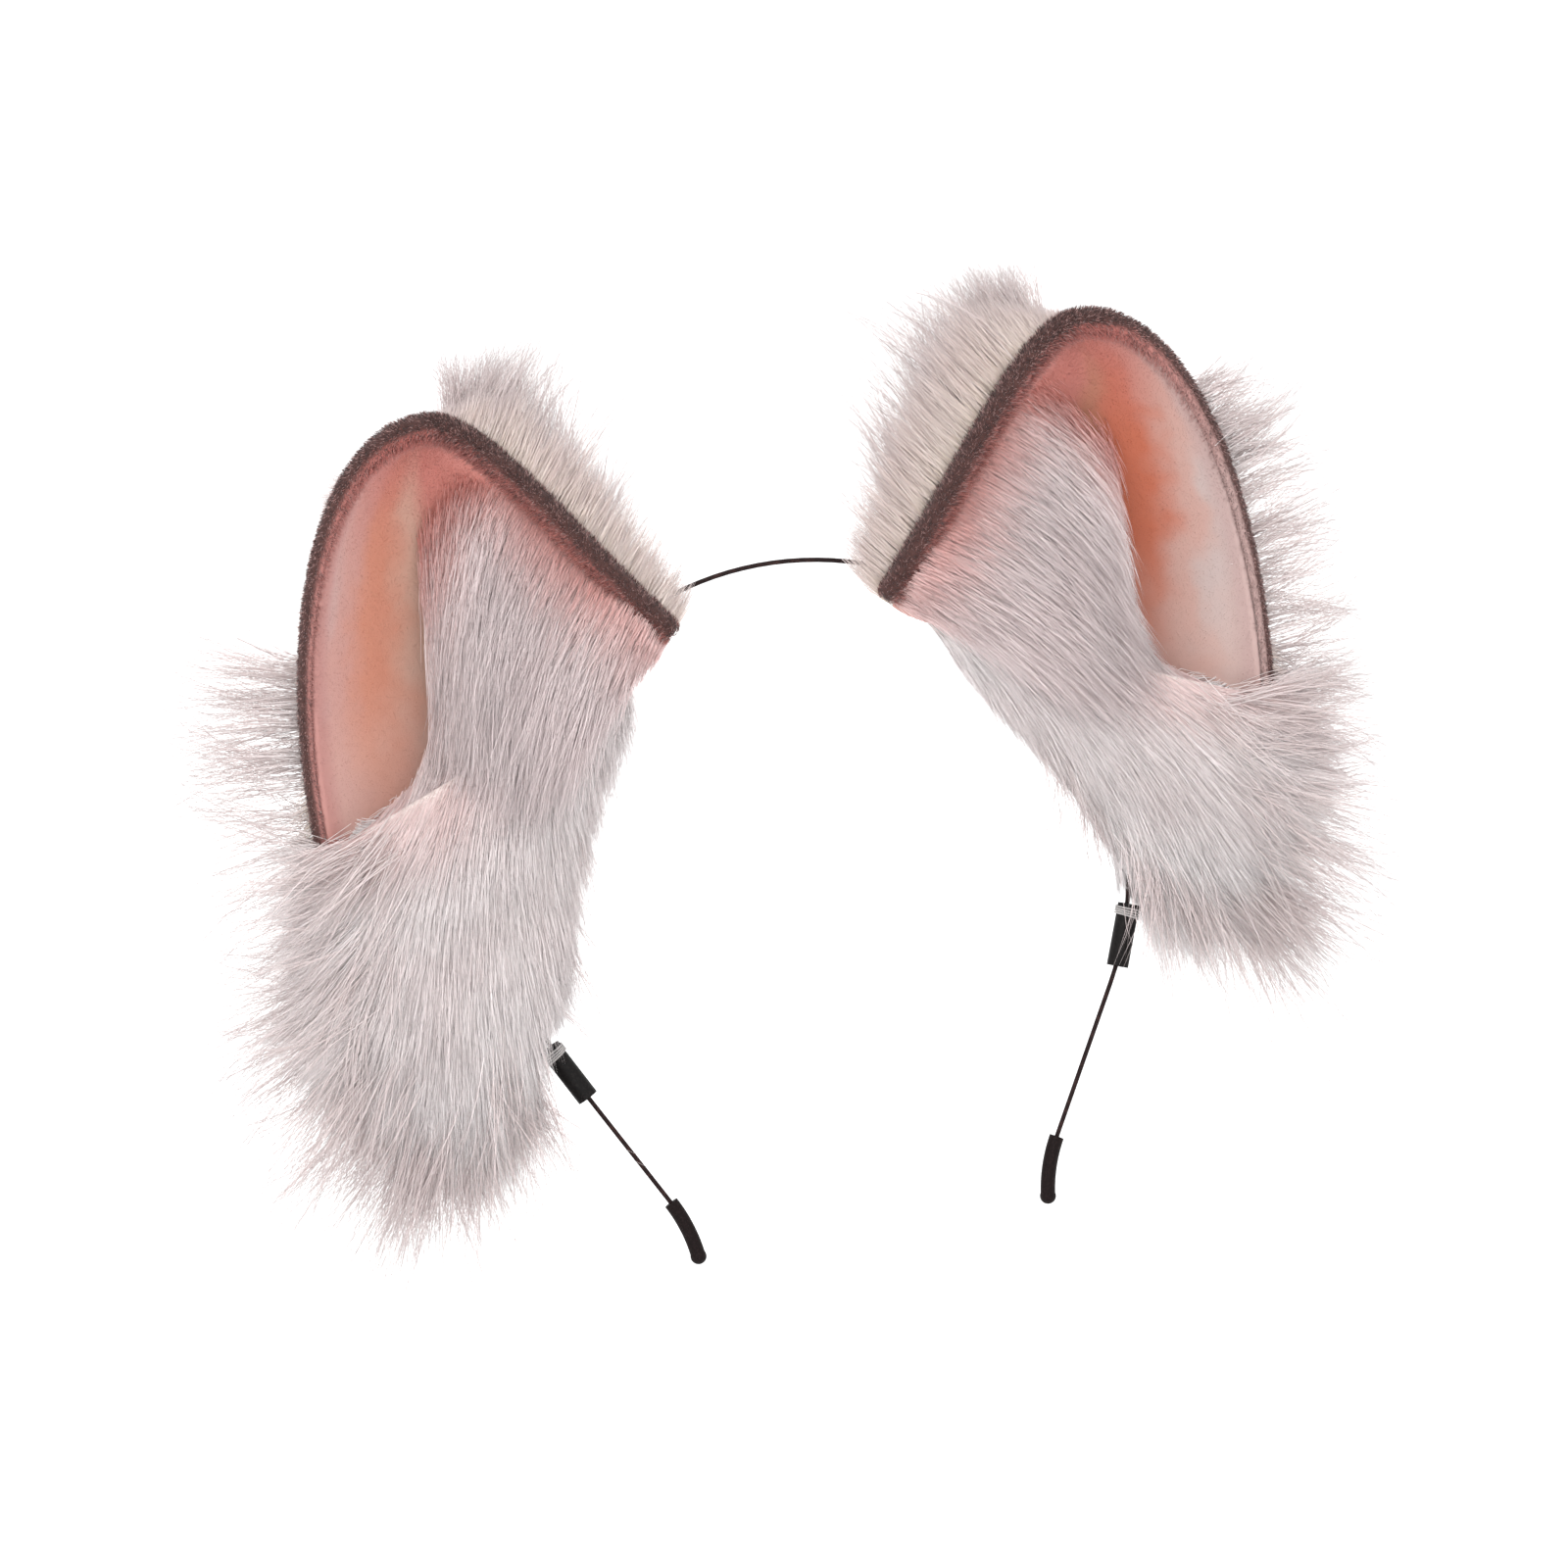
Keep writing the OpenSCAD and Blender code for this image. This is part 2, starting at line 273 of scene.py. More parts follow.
def make(name, ear, points, quads, tris=NO_TRIS, fields=None, uv=()):
    """Piece of an ear from points in mm on the right one, mirrored for the left one."""
    name = f"{ear.name}_{name}"
    body = f"{ear.name}_ear"
    co = points * MM
    if ear.side < 0:
        co = co * np.array([-1, 1, 1])
        quads = quads[:, ::-1]
        tris = tris[:, ::-1]
        uv = [part[:, ::-1] for part in uv]
    corners = np.concatenate([quads.ravel(), tris.ravel()])
    starts = np.concatenate([4 * np.arange(len(quads)), 4 * len(quads) + 3 * np.arange(len(tris))])
    mesh = bpy.data.meshes.new(name)
    mesh.vertices.add(len(co))
    mesh.vertices.foreach_set("co", co.astype(np.float32).ravel())
    mesh.loops.add(len(corners))
    mesh.loops.foreach_set("vertex_index", corners.astype(np.int32))
    mesh.polygons.add(len(starts))
    mesh.polygons.foreach_set("loop_start", starts.astype(np.int32))
    mesh.shade_smooth()
    mesh.update(calc_edges=True)
    for field, values in (fields or {}).items():
        layer = mesh.attributes.new(field, "FLOAT", "POINT")
        layer.data.foreach_set("value", values.astype(np.float32).ravel())
    if uv:
        layer = mesh.uv_layers.new(name="OFBake")
        flat = np.concatenate([part.reshape(-1, 2) for part in uv])
        layer.data.foreach_set("uv", flat.astype(np.float32).ravel())
    piece = placed(name, mesh)
    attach(piece, body)
    return piece


def grid_faces(rows, cols, base=0, closed=False, flip=False):
    """Quads over a grid of points, rows by cols, wrapped across the columns if closed."""
    r, c = np.meshgrid(np.arange(rows - 1), np.arange(cols if closed else cols - 1), indexing="ij")
    r, c = r.ravel(), c.ravel()
    d = (c + 1) % cols
    quads = np.stack([r * cols + c, r * cols + d, (r + 1) * cols + d, (r + 1) * cols + c], 1) + base
    return quads[:, ::-1] if flip else quads


def slab(front, back):
    """Closed solid between two grids of points of the same size, rows by cols by 3."""
    rows, cols = front.shape[:2]
    n = rows * cols
    border = np.concatenate([
        np.arange(cols),
        np.arange(1, rows) * cols + cols - 1,
        (rows - 1) * cols + np.arange(cols - 2, -1, -1),
        np.arange(rows - 2, 0, -1) * cols,
    ])
    after = np.roll(border, -1)
    edge = np.stack([border, border + n, after + n, after], 1)
    quads = np.concatenate([grid_faces(rows, cols), grid_faces(rows, cols, base=n, flip=True), edge])
    return np.concatenate([front.reshape(-1, 3), back.reshape(-1, 3)]), quads


def end_caps(rings, sides):
    """Triangles that close both ends of a tube."""
    caps = []
    for base, flip in ((0, True), ((rings - 1) * sides, False)):
        for i in range(1, sides - 1):
            tri = [base, base + i, base + i + 1]
            caps.append(tri[::-1] if flip else tri)
    return np.array(caps)


def circles(a, across, other):
    """Directions at the angles a round each place of a path, in the plane of across and other."""
    return np.cos(a)[None, :, None] * across[:, None] + np.sin(a)[None, :, None] * other[:, None]


# ---- long pile ----

# Furthest that pile may reach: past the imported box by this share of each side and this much.
ROOM_SHARE = 0.03
ROOM_MORE = 9
box_low, box_high = np.array(cad_low), np.array(cad_high)
past_box = ROOM_SHARE * (box_high - box_low)
ROOM = [(box_low - past_box) / MM - ROOM_MORE, (box_high + past_box) / MM + ROOM_MORE]
# Distances from the middle of the wire that strands keep, in general and beside the sleeves.
WIRE_ROOM = 1.9
SLEEVE_ROOM = 7.5
# The wire is only kept clear this many degrees past the end of its round part.
ARC_MORE = 4
# Steps in a long strand's length and in a short one's, and its sides.
PILE_RINGS = 3
FUZZ_RINGS = 2
STRAND_SIDES = 3
# How much of its width a strand loses toward its tip, and how late.
TAPER = 0.92
TAPER_LATE = 2.2
# Share of a strand's cell in the texture plane that is left free on each side.
CELL_EDGE = 0.04
# Roots that are compared with the leaders at one time.
ROOTS_AT_ONCE = 2000
# Hairs in a loose lock and their width.
LOCK_HAIRS = 11
LOCK_WIDTH = 0.18


def off_wire(p):
    """Moves points that lie in the wire out to its surface and a little beyond."""
    radial = np.hypot(p[..., 0], p[..., 2])
    out = np.stack([radial - BAND_R, p[..., 1]], -1)
    near = np.linalg.norm(out, axis=-1)
    polar = np.degrees(np.arctan2(np.abs(p[..., 0]), p[..., 2]))
    push = (near < WIRE_ROOM) & (polar < ARC_END + ARC_MORE)
    scale = np.where(push, WIRE_ROOM / np.maximum(near, 0.05), 1)
    new_r = BAND_R + out[..., 0] * scale
    grow = new_r / np.maximum(radial, 1e-6)
    p = p.copy()
    p[..., 0] *= grow
    p[..., 2] *= grow
    p[..., 1] = np.where(push, out[..., 1] * scale, p[..., 1])
    return p


def clear_of_sleeve(p, ear):
    """Which strands keep off the guide sleeve. Points half way along each step count too."""
    q = np.concatenate([p[:, 1:], (p[:, 1:] + p[:, :-1]) / 2], 1)
    off = np.hypot(np.hypot(q[..., 0], q[..., 2]) - BAND_R, q[..., 1])
    polar = np.degrees(np.arctan2(q[..., 0], q[..., 2]))
    half = math.degrees(SLEEVE_LEN / 2 / BAND_R)
    return ~((off < SLEEVE_ROOM) & (np.abs(polar - ear.sleeve_at) < half)).any(1)


def nearest(points, centres):
    """Index of the nearest centre to each point."""
    found = np.empty(len(points), int)
    for i in range(0, len(points), ROOTS_AT_ONCE):
        part = points[i:i + ROOTS_AT_ONCE, None, :] - centres[None, :, :]
        found[i:i + ROOTS_AT_ONCE] = np.argmin((part**2).sum(2), 1)
    return found


def pile_paths(root, start, end, length, rings, clump, pull, wave=0.03, sway=0.0):
    """Centre lines of strands: rings + 1 points each, from the root to the tip.

    About one strand in clump is a leader, and pull is how far the others of its lock bend to
    it, least and most. wave is each strand's own curl, and sway is how much whole locks differ.
    """
    n = len(root)
    t = np.linspace(0, 1, rings + 1)[None, :, None]
    leaders = rng.choice(n, max(1, n // clump), replace=False)
    own = leaders[nearest(root, root[leaders])]
    sway = np.broadcast_to(sway, n)
    length = (length * (1 + 1.2 * sway * rng.normal(size=n))[own])[:, None, None]
    p = root[:, None] + length * (start[:, None] * (t - t * t / 2) + end[:, None] * t * t / 2)
    curl = rng.normal(size=(n, 3))[:, None] * np.sin(math.pi * t * rng.uniform(0.7, 1.6, (n, 1, 1)))
    lean = sway[:, None] * rng.normal(size=(n, 3))
    p = p + wave * length * curl * t + length * t**2 * lean[own][:, None]
    low, high = (np.reshape(limit, (-1, 1, 1)) for limit in pull)
    much = low + (high - low) * rng.random((n, 1, 1))
    # Unequal strands of a lock meet at the same distance from the skin.
    return p + much * t**1.5 * (p[own] - p) * np.clip(length / length[own], 0.3, 1.2)


def fit_room(p, side):
    """Shortens strands that would leave the room for fabric."""
    low, high = np.sort(ROOM * np.array([side, 1, 1]), axis=0)
    root = p[:, :1]
    reach = p - root
    limit = np.where(reach > 0, high - root, root - low)
    share = np.clip(limit / np.maximum(np.abs(reach), 1e-6), 0, 1).min(axis=(1, 2))
    share = np.where(share < 1, share * rng.uniform(0.75, 1, len(share)), 1)
    return root + reach * share[:, None, None]


def picked(fields, part):
    return {key: value[part] for key, value in fields.items()}


def strand_faces(k):
    """Quads and triangles of a strand of k rings and a tip, with their corners' places in a
    unit square."""
    n = STRAND_SIDES
    quads, quad_uv, tris, tri_uv = [], [], [], []
    for r in range(k - 1):
        for j in range(n):
            a, b = n * r + j, n * r + (j + 1) % n
            quads.append([a, b, b + n, a + n])
            low, high = r / k, (r + 1) / k
            quad_uv.append([[j / n, low], [(j + 1) / n, low], [(j + 1) / n, high], [j / n, high]])
    for j in range(n):
        a, b = n * (k - 1) + j, n * (k - 1) + (j + 1) % n
        tris.append([a, b, n * k])
        tri_uv.append([[j / n, 1 - 1 / k], [(j + 1) / n, 1 - 1 / k], [(j + 0.5) / n, 1]])
    # The root's end.
    tris.append([0, 2, 1])
    tri_uv.append([[0, 0], [0.2, 0], [0.1, 0.02]])
    return quads, quad_uv, tris, tri_uv


def strand_mesh(name, ear, p, width, fields, keep_off=True):
    """One closed, tapering three-sided strand along each centre line in p."""
    p = fit_room(p, ear.side)
    if keep_off:
        p = off_wire(p)
        kept = clear_of_sleeve(p, ear)
        p, width = p[kept], width[kept]
        fields = picked(fields, kept)
    n, k = p.shape[0], p.shape[1] - 1
    t = np.linspace(0, 1, k + 1)
    tangent = unit(np.gradient(p, axis=1))
    ref = unit(rng.normal(size=(n, 1, 3)))
    across = unit(np.cross(tangent, ref))
    other = np.cross(tangent, across)
    radius = (width / 2)[:, None] * (1 - TAPER * t[:k] ** TAPER_LATE)[None]
    rings = []
    for j in range(STRAND_SIDES):
        a = 2 * math.pi * j / STRAND_SIDES
        rings.append(p[:, :k] + radius[..., None] * (math.cos(a) * across + math.sin(a) * other)[:, :k])
    ring = np.stack(rings, 2).reshape(n, STRAND_SIDES * k, 3)
    points = np.concatenate([ring, p[:, k:]], 1).reshape(-1, 3)
    per = STRAND_SIDES * k + 1
    quad, quad_uv, tri, tri_uv = strand_faces(k)
    step = (per * np.arange(n))[:, None, None]
    # Each strand has a square cell of its own in the texture plane.
    side_by_side = math.ceil(math.sqrt(n))
    cell = np.arange(n)
    corner = np.stack([cell % side_by_side, cell // side_by_side], 1)[:, None, None, :]
    inner = 1 - 2 * CELL_EDGE
    uv = [
        ((corner + CELL_EDGE + inner * np.array(part)[None]) / side_by_side).reshape(-1, len(part[0]), 2)
        for part in (quad_uv, tri_uv)
    ]
    quads = (np.array(quad)[None] + step).reshape(-1, 4)
    tris = (np.array(tri)[None] + step).reshape(-1, 3)
    along = np.concatenate([np.repeat(t[:k], STRAND_SIDES), t[k:]])
    fields = {key: np.repeat(value, per) for key, value in fields.items()}
    fields["along"] = np.tile(along, n)
    return make(name, ear, points, quads, tris, fields, uv)


def pile_pieces(name, ear, p, width_of, fields, order, count, material):
    """Strands in a number of pieces, split along the given order."""
    pieces = []
    for i, part in enumerate(np.array_split(order, count)):
        piece = strand_mesh(f"{name}_{i + 1}", ear, p[part], width_of(part), picked(fields, part))
        use(piece, material)
        pieces.append(piece)
    return pieces


def jitter(v, amount):
    """Unit vectors near those of v."""
    return unit(v + amount * rng.normal(size=v.shape))


def spikes(name, ear, root, start, end, length, spread=1.3):
    """Separate loose locks of long hairs, each starting wide and thinning to its end."""
    own = np.repeat(np.arange(len(root)), LOCK_HAIRS)
    n = len(own)
    t = np.linspace(0, 1, PILE_RINGS + 1)[None, :, None]
    reach = (length[own] * rng.uniform(0.55, 1.05, n))[:, None, None]
    middle = reach * (start[own][:, None] * (t - t * t / 2) + end[own][:, None] * t * t / 2)
    aside = spread * rng.normal(size=(n, 3))[:, None] * (1 - 0.6 * t)
    stray = 0.1 * reach * rng.normal(size=(n, 3))[:, None] * t**2
    p = root[own][:, None] + middle + aside + stray
    fields = {"tint": rng.uniform(0, 0.7, n), "warm": rng.uniform(0, 0.25, n)}
    locks = strand_mesh(name, ear, p, LOCK_WIDTH * rng.uniform(0.7, 1.2, n), fields)
    use(locks, SHADED_LOCK_PILE)


def lie(degrees):
    """Direction in the hoop's plane, in degrees outward from straight down."""
    a = np.radians(degrees)
    return np.stack([np.sin(a), np.zeros_like(a), -np.cos(a)], -1)


def without_inward(v, normal):
    """v with any part of it that goes into the surface taken off."""
    into = np.minimum((v * normal).sum(1, keepdims=True), 0)
    return unit(v - into * normal)


# ---- materials ----


def linear(colour):
    """Linear colour from a grey level, from a linear colour, or from three sRGB values up to 255."""
    if not isinstance(colour, tuple):
        return (colour, colour, colour, 1)
    if len(colour) == 4:
        return colour
    parts = [c / 255 for c in colour]
    return (*[c / 12.92 if c <= 0.04045 else ((c + 0.055) / 1.055) ** 2.4 for c in parts], 1)


class Shader:
    """A Principled material with short calls for the nodes used here."""

    def __init__(self, name, **sockets):
        self.material = bpy.data.materials.new(name)
        self.material.use_nodes = True
        self.tree = self.material.node_tree
        self.surface = self.tree.nodes["Principled BSDF"]
        for key, value in sockets.items():
            self.surface.inputs[key.replace("_", " ")].default_value = value

    def feed(self, socket, value):
        """Links value to socket if it is a socket, and otherwise sets it."""
        if isinstance(value, bpy.types.NodeSocket):
            self.tree.links.new(value, socket)
        else:
            socket.default_value = value

    def add(self, kind, inputs=None, **settings):
        """New node with its settings and with what goes into its inputs."""
        node = self.tree.nodes.new(kind)
        for key, value in settings.items():
            setattr(node, key, value)
        for key, value in (inputs or {}).items():
            self.feed(node.inputs[key], value)
        return node

    def field(self, name):
        return self.add("ShaderNodeAttribute", attribute_name=name).outputs["Fac"]

    def noise(self, per_mm, detail=3, roughness=0.55, stretch=None):
        place = self.add("ShaderNodeTexCoord").outputs["Object"]
        if stretch:
            place = self.add("ShaderNodeMapping", {"Scale": stretch, "Vector": place}).outputs["Vector"]
        inputs = {"Scale": per_mm / MM, "Detail": detail, "Roughness": roughness, "Vector": place}
        return self.add("ShaderNodeTexNoise", inputs).outputs["Fac"]

    def ramp(self, fac, stops, smooth=True):
        node = self.add("ShaderNodeValToRGB", {"Fac": fac})
        ramp = node.color_ramp
        ramp.interpolation = "EASE" if smooth else "LINEAR"
        while len(ramp.elements) < len(stops):
            ramp.elements.new(0.5)
        for element, (place, colour) in zip(ramp.elements, stops):
            element.position = place
            element.color = linear(colour)
        return node.outputs["Color"]

    def mix(self, fac, a, b, blend="MIX"):
        a, b = (linear(value) if isinstance(value, tuple) else value for value in (a, b))
        inputs = {"Factor": fac, "A": a, "B": b}
        return self.add("ShaderNodeMix", inputs, data_type="RGBA", blend_type=blend).outputs["Result"]

    def times(self, a, b):
        return self.mix(1.0, a, b, "MULTIPLY")

    def math(self, operation, a, b):
        return self.add("ShaderNodeMath", {0: a, 1: b}, operation=operation).outputs[0]

    def colour(self, value):
        self.feed(self.surface.inputs["Base Color"], value)

    def bump(self, height, distance, strength=0.6):
        inputs = {"Distance": distance * MM, "Strength": strength, "Height": height}
        node = self.add("ShaderNodeBump", inputs)
        self.feed(self.surface.inputs["Normal"], node.outputs["Normal"])


def pile_material(name, root, mid, tip, warm):
    """Long pile: root colour to tip colour, warmer where the warm field says so."""
    s = Shader(name, Roughness=0.65, Specular_IOR_Level=0.15, Sheen_Weight=0.1)
    # Painted light and shade along each strand: the roots are painted brighter to lift the shade among the
    # strands, and the tips are painted greyer as painted shade.
    colour_and_painted_light_along = s.ramp(s.field("along"), [(0, root), (0.45, mid), (1, tip)])
    warmed = s.mix(s.field("warm"), colour_and_painted_light_along, warm)
    shade = s.ramp(s.field("tint"), [(0, 0.94), (0.5, 0.98), (1, 1.0)], smooth=False)
    patches = s.ramp(s.noise(0.05, 2), [(0.3, (0.97, 0.95, 0.95, 1)), (0.7, (1, 1, 1, 1))])
    s.colour(s.times(s.times(warmed, shade), patches))
    return s.material


WHITE_PILE = pile_material("white_pile", (255, 253, 253), (251, 247, 247), (238, 233, 233), (236, 208, 205))
# The loose locks are painted shade: the same white fur as the rest, painted grey toward their tips.
SHADED_LOCK_PILE = pile_material("shaded_lock_pile", (250, 242, 241), (222, 211, 210), (192, 182, 182), (228, 204, 201))
BACK_PILE = pile_material("back_pile", (246, 233, 215), (236, 223, 216), (216, 204, 203), (234, 212, 209))
# The tuft's pile is painted greyer than the cuff's, as painted shade inside the cup.
SHADED_TUFT_PILE = pile_material("tuft_pile", (248, 236, 235), (237, 224, 224), (222, 210, 210), (228, 156, 146))


def lining_material(ear):
    """Short plush, airbrushed from salmon at the edges through orange in the fold to pale."""
    s = Shader(f"{ear.name}_salmon_plush", Roughness=0.85, Specular_IOR_Level=0.2, Sheen_Weight=0.2)
    drift = s.math("MULTIPLY", s.math("SUBTRACT", s.noise(0.07, 2), 0.5), 0.24)
    lean = s.ramp(s.field("up"), [(0.1, ear.lean[0]), (0.8, ear.lean[1])])
    inner, fold, outer, pale, edge = ear.colours
    across = s.ramp(s.math("SUBTRACT", s.math("ADD", s.field("across"), drift), lean), [
        (0.3, (200, 132, 122)),
        (0.46, inner),
        (ear.fold[0], fold),
        (ear.fold[1], fold),
        (0.85, outer),
        (0.95, pale),
    ])
    up = s.math("ADD", s.field("up"), drift)
    toned = s.mix(s.ramp(up, [(0.48, 0.0), (0.88, 0.85)]), across, (197, 124, 114))
    toned = s.mix(s.ramp(up, [(0.0, 0.5), (0.3, 0.0)]), toned, (212, 178, 168))
    beside = s.ramp(s.field("across"), [(0.93, 0.0), (0.99, 0.8)])
    toned = s.mix(beside, toned, edge)
    shade = s.ramp(s.field("tint"), [(0, 0.93), (1, 1.0)], smooth=False)
    s.colour(s.times(toned, shade))
    s.bump(s.noise(3.4, 3), 0.14, 0.4)
    return s.material


def rim_material(ear):
    """Dark brown clipped plush with pale fibres among the dark ones."""
    s = Shader(f"{ear.name}_brown_plush", Roughness=0.85, Specular_IOR_Level=0.2, Sheen_Weight=0.2)
    speck = s.ramp(s.math("ADD", s.field("tint"), s.math("MULTIPLY", s.noise(0.9, 3), 0.5)), [
        (0.35, (58, 36, 34)),
        (0.72, (84, 56, 52)),
        (0.86, (112, 78, 76)),
        (0.94, (178, 140, 136)),
    ])
    beside = s.mix(s.field("fade"), (186, 112, 104), ear.colours[-1])
    s.colour(s.mix(s.field("warm"), speck, beside))
    s.bump(s.noise(1.4, 4), 0.5)
    return s.material


def cloth_material(name, colour, dark, weave, roughness=0.9):
    """Plain woven or felted cloth."""
    s = Shader(name, Roughness=roughness, Sheen_Weight=0.1)
    threads = s.noise(weave, 4, 0.6, stretch=(1, 1, 2.5))
    s.colour(s.mix(s.ramp(threads, [(0.35, 0.0), (0.65, 1.0)]), dark, colour))
    s.bump(threads, 0.25)
    return s.material


BACKING = cloth_material("pile_backing", (222, 210, 206), (196, 182, 178), 0.8)
STIFFENER = cloth_material("felt_stiffener", (224, 220, 214), (196, 190, 184), 1.2)
TAPE = cloth_material("woven_tape", (228, 224, 220), (190, 184, 180), 2.2)
FELT = cloth_material("white_felt", (222, 212, 208), (190, 178, 174), 1.5)
THREAD = cloth_material("white_thread", (226, 222, 216), (186, 182, 176), 4, 0.7)
GREY_THREAD = cloth_material("grey_thread", (186, 182, 180), (132, 128, 128), 4, 0.6)


def hard_material(name, colour, worn, roughness, rougher, metallic=0.0, grain=2.0):
    """Rubber, plastic or metal with worn and rougher patches."""
    s = Shader(name, Metallic=metallic, Specular_IOR_Level=0.5 if metallic else 0.12)
    patches = s.noise(grain, 4)
    s.colour(s.mix(s.ramp(patches, [(0.45, 0.0), (0.75, 1.0)]), colour, worn))
    shine = s.ramp(s.noise(grain * 2, 3), [(0.3, roughness), (0.7, rougher)])
    s.feed(s.surface.inputs["Roughness"], shine)
    s.bump(s.noise(grain * 3, 3), 0.03, 0.4)
    return s.material


LACQUER = hard_material("lacquered_wire", (26, 13, 13), (50, 30, 28), 0.4, 0.6, grain=0.8)
RUBBER = hard_material("black_rubber", (16, 7, 7), (30, 18, 18), 0.5, 0.72)
SLEEVE = hard_material("black_sleeve", (14, 12, 12), (30, 27, 26), 0.4, 0.6)
STEEL = hard_material("shaping_wire", (176, 176, 178), (130, 130, 134), 0.25, 0.45, 1.0)


def use(piece, material):
    piece.data.materials.clear()
    piece.data.materials.append(material)


# ---- an ear ----

# Offsets from the middle of the shell.
LINING_LOW = -CORE_T / 2 - GAP - LINING_T
LINING_HIGH = -CORE_T / 2 - GAP
PELT_LOW = CORE_T / 2 + GAP
PELT_T = 0.8
CUFF_PELT_T = 0.8
# How far the layers stop short of the rim's middle, at the inner and outer edges, and of the tip.
LAYER_CLEAR = (1.7, 0.8)
LAYER_TOP = 0.982
# How far the tuft's roots stop short of the rim's middle.
TUFT_CLEAR = 1.2
# The part of its path that the rim runs over, and about half the path's length.
RIM_FROM = 0.004
RIM_TO = 1.996
RIM_HALF = 110
# Strands on one ear. The tuft's count takes in those along the ear's base.
RIM_HAIRS = 19500
LINING_HAIRS = 19500
BACK_HAIRS = 36000
TUFT_HAIRS = 24000
TUFT_BASE_HAIRS = 3500
CUFF_HAIRS = 60000
# Loose locks on the ear's inner edge, and on the cuff's outer side, lower end and inner side.
EDGE_LOCKS = 170
CUFF_LOCKS = (130, 150, 24)
# Widths of single strands.
RIM_HAIR_WIDTH = 0.15
LINING_HAIR_WIDTH = 0.13
BACK_HAIR_WIDTH = 0.155
CUFF_HAIR_WIDTH = 0.15
LONG_HAIR_WIDTH = 0.12
# Length of the cuff's pile, and at its outer side.
CUFF_PILE = 24
CUFF_FAN = 23
# Share of the back's and the cuff's strands that are short underfur.
UNDERFUR = 0.35
# Places across the cuff, from its inner side to its outer one, that an ear's comb is for.
COMB_AT = [0, 0.25, 0.5, 0.78, 1]


def tucked(offset, u, w):
    """A layer's distance from the middle of the shell, less where it goes into the rim."""
    edge = np.clip(np.minimum(w, 1 - w) / 0.07, 0, 1) * np.clip((LAYER_TOP - u) / 0.06, 0, 1)
    least = np.interp(w, [0.5, 0.9], [0.35, 0.7])
    return offset * (least + (1 - least) * edge * (2 - edge))


def on_shell(u, w, offset):
    """Points at an offset from the shell, and the normals there."""
    normal = shell_normal(u, w)
    return shell_point(u, w, *LAYER_CLEAR) + offset * normal, normal


def shell_grid(rows, cols, offset):
    """Points of a layer at an offset from the shell, and their places u and w on it."""
    u = LAYER_TOP * (1 - (1 - np.linspace(0, 1, rows)) ** 1.4)
    u, w = np.meshgrid(u, np.linspace(0, 1, cols), indexing="ij")
    return on_shell(u, w, tucked(offset, u, w)[..., None])[0], u, w


def shell_layer(name, ear, low, high, rows=56, cols=64):
    """Solid sheet of the cup between two offsets from the middle of its shell."""
    inside, u, w = shell_grid(rows, cols, low)
    outside = shell_grid(rows, cols, high)[0]
    points, quads = slab(inside, outside)
    fields = {
        "across": np.tile(lateral(w.ravel()), 2),
        "up": np.tile(u.ravel(), 2),
        "tint": np.full(2 * u.size, 0.5),
    }
    return make(name, ear, points, quads[:, ::-1], fields=fields)


def ear_cloths(ear):
    """Stiffener, plush lining and backing of the long pile. Returns the lining's material."""
    core = shell_layer("ear_stiffener", ear, -CORE_T / 2, CORE_T / 2)
    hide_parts(f"{ear.name}_core")
    use(core, STIFFENER)

    lining = shell_layer("ear_lining", ear, LINING_LOW, LINING_HIGH)
    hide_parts(f"{ear.name}_lining")
    plush = lining_material(ear)
    use(lining, plush)

    pelt = shell_layer("ear_backing", ear, PELT_LOW, PELT_LOW + PELT_T)
    use(pelt, BACKING)
    return plush


def rounded(radius, from_end, least):
    """The rim's radius, rounded off at its ends."""
    return radius * np.sqrt(np.clip(1 - (1 - np.clip(from_end / radius, 0, 1)) ** 2, least, 1))


